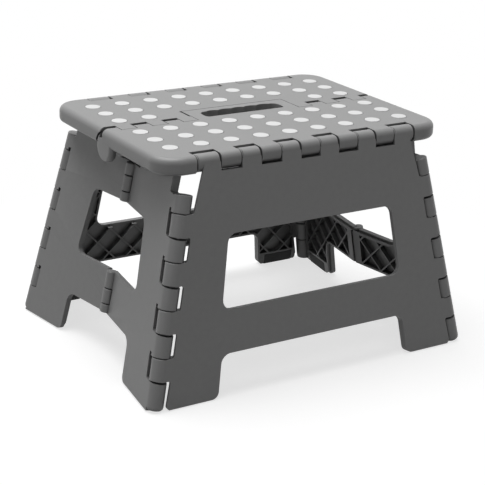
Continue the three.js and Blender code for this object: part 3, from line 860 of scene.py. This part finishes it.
def end_outline(back=0.0):
    """An end half's outline, with its window and arch drawn back by a distance."""
    top = end_rail_top
    arch_top = end_arch[1][1]
    window_low, window_high = end_window[0][1], end_window[1][1]
    return [
        (0, 0, 0),
        drawn_back(end_arch[0], back, 0),
        drawn_back(end_arch[1], back, 1),
        (middle_edge(arch_top) - inner_face, arch_top + back, 0),
        (middle_edge(window_low) - inner_face, window_low - back, 0),
        drawn_back(end_window[0], back, -1),
        drawn_back(end_window[1], back, 1),
        (middle_edge(window_high) - inner_face, window_high + back, 0),
        (middle_edge(end_middle_top) - inner_face, end_middle_top, 0),
        (middle_edge(top) - end_rail_from_middle, end_middle_top, 0),
        (middle_edge(top) - end_rail_from_middle, top, 0),
        (corner_edge(top) + end_rail_from_corner, top, 0),
        (corner_edge(top) + end_rail_from_corner, end_corner_top, 0),
        (corner_edge(end_corner_top), end_corner_top, 0),
    ]


def end_pockets():
    """What the moulding leaves hollow behind an end half's skin, around its ribs."""
    low, high = pad_height + panel_wall, end_solid_top
    field = [
        (corner_edge(low) + end_solid_corner, low, 0),
        (middle_edge(low) - end_solid_middle, low, 0),
        (middle_edge(high) - end_solid_middle, high, 0),
        (corner_edge(high) + end_solid_corner, high, 0),
    ]
    level = outer_face - panel_skin
    hollow = plate(inset(end_outline(rib_setback), panel_wall), -knuckle_radius, level)
    hollow = keep(hollow, plate(field, -knuckle_radius - past, level))
    ribs = crossing_ribs(end_rib_centre, end_rib_reach, -knuckle_radius - past, level + past)
    return cut(hollow, *ribs)


def end_corner_notch(span):
    """The room beside one of the side panel's knuckles."""
    low, high = (end_corner(length) for length in span)
    outside = knuckle_radius + 2 * past
    corners = [
        (low.x - outside, low.y, 0),
        (low.x + end_notch, low.y, corner_notch_rounding),
        (high.x + end_notch, high.y, corner_notch_rounding),
        (high.x - outside, high.y, 0),
    ]
    return plate(corners, -knuckle_radius - past, knuckle_radius + past)


def end_panel(is_rear, is_right):
    """An end half in its own frame, and its place. Two of the four are mirrored at the end."""
    place = end_place(is_rear, is_right)
    carries_two = is_rear == is_right
    lip = plate(end_outline(), window_wall, outer_face)
    mesh = join(lip, plate(end_outline(rib_setback), inner_face, window_wall + lip_overlap))
    mesh = cut(mesh, end_pockets())
    for low, high in end_corner_spans:
        start, end = end_corner(low + hinge_seam), end_corner(high - hinge_seam)
        start_rounding = foot_rounding if low == 0 else knuckle_rounding
        roundings = (start_rounding, knuckle_rounding)
        mesh = join(mesh, rod(knuckle_radius, start, end, roundings))
    for low, high in side_corner_spans:
        mesh = cut(mesh, end_corner_notch((low - hinge_seam, high + hinge_seam)))
    for low, high in end_corner_spans[1:]:
        under = end_corner(low)
        near, far = (under.x + x for x in core_mark_span)
        mesh = cut(mesh, block(
            (near, under.y, outer_face - core_mark_depth),
            (far, under.y + core_mark_height, outer_face + past),
        ))
    mesh = cut(mesh, corner_bore(end_corner), pad_seat(end_pad_span))
    for bounds in middle_hinges:
        for i, (low, high) in enumerate(spans([end_height(z) for z in bounds])):
            if (i % 2 == 0) == carries_two:
                start = (middle_edge(low), low + hinge_seam, middle_offset)
                end = (middle_edge(high), high - hinge_seam, middle_offset)
                mesh = join(mesh, rod(middle_radius, start, end, middle_rounding))
            else:
                web = middle_offset - middle_radius - swing_gap
                near = (middle_edge(low) - middle_radius - 2 * swing_gap, low - hinge_seam, web)
                far = (middle_edge(low) + middle_offset, high + hinge_seam, 2 * middle_offset)
                mesh = cut(mesh, block(near, far))
    if carries_two:
        bmesh.ops.scale(mesh, verts=mesh.verts[:], vec=(-1, 1, 1))
        bmesh.ops.reverse_faces(mesh, faces=mesh.faces[:])
    mesh = above_floor(mesh, place, foot_lift)
    soften_face(mesh, outer_face, edge_rounding)
    return mesh, place


for is_rear, is_right, corner_name in stool_corners:
    panel, panel_place = end_panel(is_rear, is_right)
    add_piece(f"{corner_name}_end_panel", "moulding", panel, panel_plastic, f"{corner_name}_end",
              panel_place)


# Foot pads
# A rubber pad is pushed into the seat across the bottom of each of the eight feet. It reaches
# a little below the moulding and takes the load.
# Its crevice value paints some shade into the hollows of the rubber.
rubber = moulded_plastic("pad_rubber", 0.022, 0.5, {
    "Roughness": 0.72, "Patches": 0.1, "Scuffs": 0.15, "Painted Crevice Shade": 0.5,
    "Grain Size": 1500.0, "Grain Depth": 0.3,
})
pad_rounding = 0.5


def foot_pad(span, place):
    """A pad in its panel's frame, cut level with the floor."""
    low, high = span
    mesh = block(
        (low + seat_play, -knuckle_radius - 2 * past, inner_face),
        (high - seat_play, pad_height - seat_play, inner_face + pad_thickness),
    )
    mesh = above_floor(mesh, place, 0.0)
    edges = [edge for edge in mesh.edges if edge.calc_face_angle(0.0) > corner_angle]
    round_edges(mesh, edges, pad_rounding, 2)
    return mesh


for is_rear, is_right, corner_name in stool_corners:
    hand = corner_hand(is_rear, is_right)
    feet = (
        ("side", side_pad_span, side_place(is_rear), f"{side_names[is_rear]}_side"),
        ("end", end_pad_span, end_place(is_rear, is_right), f"{corner_name}_end"),
    )
    for panel_name, span, place, body in feet:
        pad = foot_pad(on_hand(hand, span), place)
        add_piece(f"{corner_name}_{panel_name}_foot_pad", "rubber", pad, rubber, body,
                  place)


# Treads
# The top is a thick slab in two halves with a rounded rim. The halves meet in a row of fingers
# over big barrels, hinged on the centre line. The front half carries a tongue with the hand
# hole. The rim itself forms the knuckles between those of the side panels.
tread_low, tread_high = (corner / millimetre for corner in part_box("front_tread"))
tread_half_length = tread_high.x
tread_half_width = -tread_low.y
tread_top = tread_high.z
tread_corner = 24.0
tread_skin = 2.8
tread_rim = 8.0
rim_low_rounding = 4.5
rim_segments = 8
tread_rib = 1.8
tread_cell = 21.0
cells_from = 17.5
cells_to = 92.0
cell_rounding = 1.2
parting_rounding = 0.7
underside = hinge_height - knuckle_radius
centre_height = underside - inner_face
through_tread = (underside - past, tread_top + past)
past_rim = 2 * tread_half_width
# Where the fingers and barrels of the centre line start and end, from the middle outwards
centre_bounds = (56.3, 72.2, 88.2, 104.4, 120.5, 136.5, 152.3)
centre_radius = 14.2
inner_barrel_radius = 10.8
outer_barrel_start = 145.0
barrel_dome = 3.4
barrel_sides = 64
centre_bore_radius = 3.1
centre_bore_span = (56.3, 150.5)
# Where the body of each half ends, and how far its fingers reach over the centre line
body_edge = 7.5
front_finger_reach = 1.6
rear_finger_reach = 7.0
finger_gap = 7.5
finger_gap_floor = 211.0
tongue_half = 56.0
tongue_seams = (2.2, 0.6)  # left and right
tongue_reach = 26.0
outer_notch = 95.2
notch_clearance = 1.1
notch_play = 0.6
slot_half = 43.5
slot_span = (-1.2, 16.2)
slot_end = 8.0
slot_front_corner = 4.0
slot_rear_corner = 7.0
scallop_depth = 1.9
scallops = 5
scallop_steps = 8
dot_radius = 7.3
dot_stand = 0.5
dot_columns = 9
dot_pitch = 31.2
first_row = 20.75
row_pitch = 27.5
dot_play = 0.3
runner_width = 15.6
runner_thickness = 1.2
dot_rows = (
    # name, side, row, first column, last column
    ("front_inner", -1, 0, 0, 8),
    ("front_middle", -1, 1, 0, 8),
    ("front_outer", -1, 2, 0, 8),
    ("rear_inner_left", 1, 0, 0, 1),
    ("rear_inner_right", 1, 0, 7, 8),
    ("rear_middle", 1, 1, 0, 8),
    ("rear_outer", 1, 2, 0, 8),
)
tread_plastic = moulded_plastic("tread_plastic", body_grey, body_shine, {
    **body_grain, "Patches": 0.1, "Scuffs": 0.15,
})


def rectangle(span_x, span_y, radius):
    """The corners of a rectangle, all rounded alike."""
    (left, right), (front, rear) = span_x, span_y
    return [(x, y, radius) for x, y in ((left, front), (right, front), (right, rear), (left, rear))]


def slab():
    """The whole top in one piece, with its rim rounded above and below."""
    length, width = ((-half, half) for half in (tread_half_length, tread_half_width))
    mesh = plate(rectangle(length, width, tread_corner), underside, tread_top)
    for level, radius in ((tread_top, rim_top_rounding), (underside, rim_low_rounding)):
        rim = [e for e in mesh.edges if all(abs(v.co.z - level) < touching for v in e.verts)]
        round_edges(mesh, rim, radius, rim_segments)
    return mesh


def side_block(side, span_x, span_y, span_z):
    """A box given by its reach from the centre line, on the front (side -1) or the rear (1)."""
    front, rear = on_hand(side, span_y)
    return block((span_x[0], front, span_z[0]), (span_x[1], rear, span_z[1]))


def centre_spans(side):
    """The spans of one half's own fingers and barrels on the centre line."""
    return spans(centre_bounds)[0 if side > 0 else 1::2]


def plan_of(side):
    """Where one half ends: at its body, at its fingers and at the tongue."""
    beside = (body_edge, past_rim)
    whole = (-tread_half_length - past, tread_half_length + past)
    play = 2 * hinge_seam
    if side < 0:
        reach = front_finger_reach
        body = side_block(side, whole, beside, through_tread)
        tongue = (-tongue_half, tongue_half)
        parts = [side_block(side, tongue, (-tongue_reach, past_rim), through_tread)]
    else:
        reach = rear_finger_reach
        body = side_block(side, whole, (tongue_reach + play, past_rim), through_tread)
        left_seam, right_seam = tongue_seams
        shoulders = [
            (-tread_half_length - past, -tongue_half - left_seam),
            (tongue_half + right_seam, tread_half_length + past),
        ]
        parts = [side_block(side, span, beside, through_tread) for span in shoulders]
    for span in centre_spans(side):
        for low, high in both_hands(span):
            finger = (low + hinge_seam, high - hinge_seam)
            parts.append(side_block(side, finger, (-reach, past_rim), through_tread))
    body = join(body, *parts)
    if side > 0:
        seam = (-tongue_half - left_seam, -tongue_half + past)
        along_tongue = (body_edge, tongue_reach + play)
        body = cut(body, side_block(side, seam, along_tongue, through_tread))
    return body


def tread_cells(side):
    """The hollows under one half: rows of square cells between thin ribs."""
    edges = [cells_from, first_row + row_pitch / 2, first_row + row_pitch * 3 / 2, cells_to]
    end = tread_half_length - tread_rim
    cells = []
    for row, (near, far) in enumerate(spans(edges)):
        stretches = [(-end, end)]
        if side > 0 and row == 0:
            stretches = both_hands((tongue_half + 2 * hinge_seam + tread_rib, end))
        for low, high in stretches:
            count = round((high - low) / tread_cell)
            pitch = (high - low) / count
            across = on_hand(side, (near + tread_rib / 2, far - tread_rib / 2))
            for i in range(count):
                left = low + i * pitch
                along = (left + tread_rib / 2, left + pitch - tread_rib / 2)
                corners = rectangle(along, across, cell_rounding)
                cells.append(plate(corners, underside - past, tread_top - tread_skin))
    return gathered(cells)


def outer_notches(side):
    """Room for the side panel's knuckles in the rim."""
    y = side * hinge_half_depth
    tools = []
    for low, high in panel_knuckles:
        low, high = low - notch_play, high + notch_play
        ends = ((low, y, hinge_height), (high, y, hinge_height))
        tools.append(rod(knuckle_radius + notch_clearance, *ends))
        tools.append(side_block(side, (low, high), (outer_notch, past_rim), through_tread))
    return tools


def knuckle_underside(side):
    """What comes off the rim's lower edge, so that its knuckles are round below their hinge."""
    y = side * hinge_half_depth
    reach = top_bounds[-2]  # the last knuckles beyond it are the side panel's
    outwards, upwards = (hinge_half_depth, past_rim), (underside - past, hinge_height)
    below = side_block(side, (-reach, reach), outwards, upwards)
    ends = [(x, y, hinge_height) for x in (-reach - past, reach + past)]
    return cut(below, rod(knuckle_radius, *ends, sides=barrel_sides))


def slot_outline():
    """The hand hole: straight in front, and scalloped for the fingers behind."""
    front, rear = slot_span
    end = slot_half - slot_end
    corners = [(x, front, slot_front_corner) for x in (-slot_half, slot_half)]
    corners.append((slot_half, rear, slot_rear_corner))
    steps = scallops * scallop_steps
    for i in range(steps + 1):
        share = (i % scallop_steps) / scallop_steps
        bulge = 4 * scallop_depth * share * (1 - share)
        corners.append((end - 2 * end * i / steps, rear + bulge, 0))
    return corners + [(-slot_half, rear, slot_rear_corner)]


def dot_place(side, row, column):
    """The middle of a dot, level with the tread."""
    x = (column - (dot_columns - 1) / 2) * dot_pitch
    return Vector((x, side * (first_row + row * row_pitch), tread_top))


def runner_block(side, row, first, last, play):
    """The runner under one row of dots, or with some play the room for it."""
    low, high = dot_place(side, row, first), dot_place(side, row, last)
    half = runner_width / 2 + play
    top = tread_top - tread_skin - dot_play + play
    return block(
        (low.x - half, low.y - half, top - runner_thickness - 2 * play),
        (high.x + half, high.y + half, top),
    )


def dot_seats(side):
    """Room in one half for its dots and their runners."""
    seats = []
    runners = []
    for name, row_side, row, first, last in dot_rows:
        if row_side != side:
            continue
        runners.append(runner_block(side, row, first, last, dot_play))
        for column in range(first, last + 1):
            centre = dot_place(side, row, column)
            foot = centre - Vector((0, 0, tread_skin + 2 * past))
            seats.append(rod(dot_radius + dot_play, foot, centre + Vector((0, 0, past))))
    return [gathered(seats), gathered(runners)]


def centre_barrel(hand, span, radius, rounding=0.0):
    """A barrel on the centre line, from its inner end to its outer end."""
    start, end = ((hand * x, 0, centre_height) for x in span)
    return rod(radius, start, end, rounding, barrel_sides)


def tread_half(side):
    """The front half of the tread (side -1) or the rear one (1), where it lies."""
    mesh = keep(slab(), plan_of(side))
    mesh = cut(mesh, tread_cells(side))
    if side < 0:
        mesh = cut(mesh, plate(slot_outline(), *through_tread))
    soften_face(mesh, tread_top, parting_rounding, 2)
    gap = (-finger_gap, -front_finger_reach)
    gap_levels = (finger_gap_floor, tread_top + past)
    for hand in (-1, 1):
        for low, high in centre_spans(side):
            start, radius, end_rounding = low + hinge_seam, inner_barrel_radius, knuckle_rounding
            if high == centre_bounds[-1]:
                start, radius, end_rounding = outer_barrel_start, centre_radius, barrel_dome
            roundings = (knuckle_rounding, end_rounding)
            barrel = centre_barrel(hand, (start, high - hinge_seam), radius, roundings)
            mesh = join(mesh, barrel)
        for span in centre_spans(-side):
            mesh = cut(mesh, centre_barrel(hand, span, centre_radius + swing_gap))
        mesh = cut(mesh, centre_barrel(hand, centre_bore_span, centre_bore_radius))
        if side < 0:
            for span in centre_spans(side):
                mesh = cut(mesh, side_block(side, on_hand(hand, span), gap, gap_levels))
    mesh = cut(mesh, knuckle_underside(side))
    y = side * hinge_half_depth
    bore_ends = [(x, y, hinge_height) for x in (-top_bore_half, top_bore_half)]
    outer_bore = rod(bore_radius, *bore_ends, sides=bore_sides)
    return cut(mesh, *outer_notches(side), outer_bore, *dot_seats(side))


for side, side_name in zip((-1, 1), side_names):
    add_piece(f"{side_name}_tread", "moulding", tread_half(side), tread_plastic,
              f"{side_name}_step")


# Grip dots
# Soft off-white discs grip the foot. Each row is one moulding, with its discs joined by a
# runner under the skin of the tread, and they stand half a millimetre proud.
dot_plastic = moulded_plastic("grip_dot_plastic", 0.80, 0.5, {
    "Roughness": 0.62, "Patches": 0.05, "Scuffs": 0.0, "Painted Crevice Shade": 0.0,
    "Grain Size": 1800.0, "Grain Depth": 0.25,
})
dot_crown = 0.12
dot_crown_inset = 0.45
dot_rim = 0.45

for name, side, row, first, last in dot_rows:
    parts = [runner_block(side, row, first, last, 0.0)]
    for column in range(first, last + 1):
        centre = dot_place(side, row, column)
        foot = centre - Vector((0, 0, tread_skin + runner_thickness))
        disc = rod(dot_radius, foot, centre + Vector((0, 0, dot_stand - dot_crown)), (0, dot_rim))
        top_face = max(disc.faces, key=lambda face: face.calc_center_median().z)
        inward = dot_crown_inset * dot_radius
        bmesh.ops.inset_region(disc, faces=[top_face], thickness=inward, depth=dot_crown)
        parts.append(disc)
    side_name = side_names[side > 0]
    add_piece(f"{name}_grip_dots", "moulding", join(*parts), dot_plastic, f"{side_name}_step")


# Hinge pins
# Straight steel wires run through the knuckles: one under each long edge, one in each corner,
# and one on each side of the tongue along the centre line.
steel = bpy.data.materials.new("pin_steel")
steel.use_nodes = True
steel_surface = steel.node_tree.nodes["Principled BSDF"].inputs
steel_surface["Base Color"].default_value = (0.32, 0.32, 0.33, 1)
steel_surface["Metallic"].default_value = 1.0
steel_surface["Roughness"].default_value = 0.34
pin_radius = 1.85
centre_pin_radius = 2.55
top_pin_half = 121.2
centre_pin_span = (57.5, 150.0)
corner_pin_start = 4.2
corner_pin_short = 2.2
pin_rounding = 0.4

for side, side_name in zip((-1, 1), side_names):
    ends = [(x, side * hinge_half_depth, hinge_height) for x in (-top_pin_half, top_pin_half)]
    wire = rod(pin_radius, *ends, pin_rounding, bore_sides)
    add_piece(f"{side_name}_top_hinge_pin", "wire", wire, steel, f"{side_name}_side")

for hand, hand_name in zip((-1, 1), hand_names):
    wire = centre_barrel(hand, centre_pin_span, centre_pin_radius, pin_rounding)
    add_piece(f"{hand_name}_centre_hinge_pin", "wire", wire, steel, "front_step")

corner_pin_span = (corner_pin_start, corner_bounds[-1] - corner_pin_short)
for is_rear, is_right, corner_name in stool_corners:
    hand = corner_hand(is_rear, is_right)
    ends = [side_corner(hand, length) for length in corner_pin_span]
    wire = rod(pin_radius, *ends, pin_rounding, bore_sides)
    add_piece(f"{corner_name}_corner_pin", "wire", wire, steel, f"{side_names[is_rear]}_side",
              side_place(is_rear))


size = {"cad": [list(corner) for corner in cad_bounds], "visual": [list(corner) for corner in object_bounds()]}
